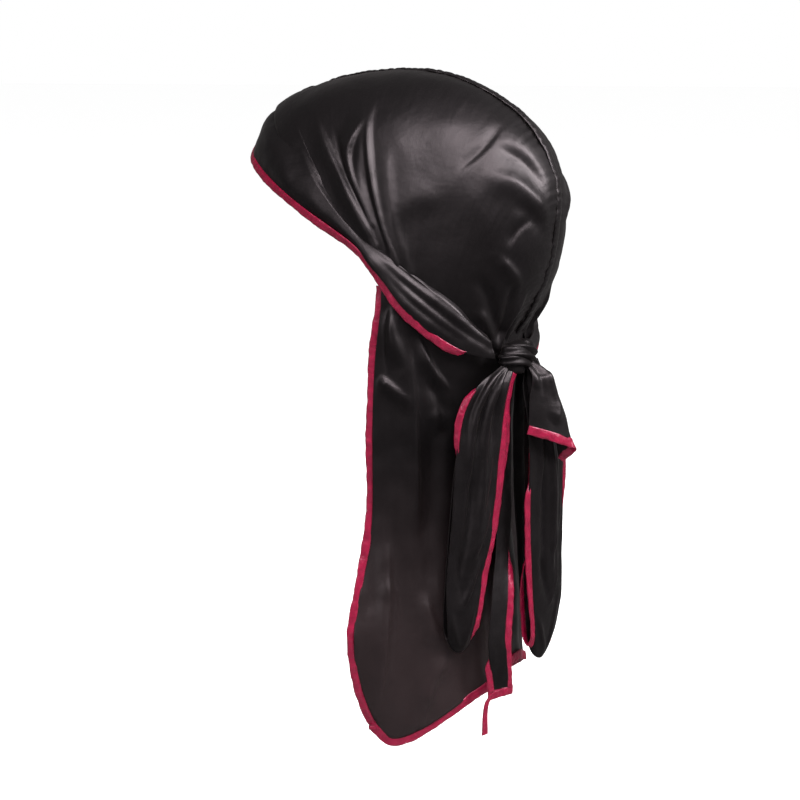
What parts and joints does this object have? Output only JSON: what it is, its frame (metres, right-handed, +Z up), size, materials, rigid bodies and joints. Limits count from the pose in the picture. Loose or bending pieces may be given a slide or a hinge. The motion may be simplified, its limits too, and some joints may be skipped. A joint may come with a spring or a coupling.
{
  "type": "satin durag",
  "caption": "Satin durag, tied: a gathered crown with a seam over the head, straps knotted in a bow behind the neck, a long neck flap, and contrasting bias binding on its edges",
  "frame": {"origin": "the inside of the crown where it sits on the top of the head, on the middle line", "axes": "+X the wearer's left, +Y the back of the head, +Z up; the forehead faces -Y"},
  "size_m": [0.1958, 0.2086, 0.4105],
  "materials": {
    "satin": "satin",
    "binding": "satin"
  },
  "bodies": {
    "root": {"crown_left": "satin", "crown_right": "satin", "strap_left": "satin", "strap_right": "satin", "centre_seam": "satin", "flap": "satin", "loop_left": "satin", "loop_right": "satin", "tail_left": "satin", "tail_right": "satin", "bow_turn": "satin", "knot": "satin", "front_binding": "binding", "flap_binding_left": "binding", "flap_binding_right": "binding", "flap_binding_hem": "binding", "loop_left_binding_a": "binding", "loop_left_binding_b": "binding", "loop_right_binding_a": "binding", "loop_right_binding_b": "binding", "tail_left_binding_a": "binding", "tail_left_binding_b": "binding", "tail_right_binding_a": "binding", "tail_right_binding_b": "binding", "tail_left_binding_end": "binding", "tail_tag": "binding", "bow_turn_binding": "binding"}
  },
  "joints": []
}
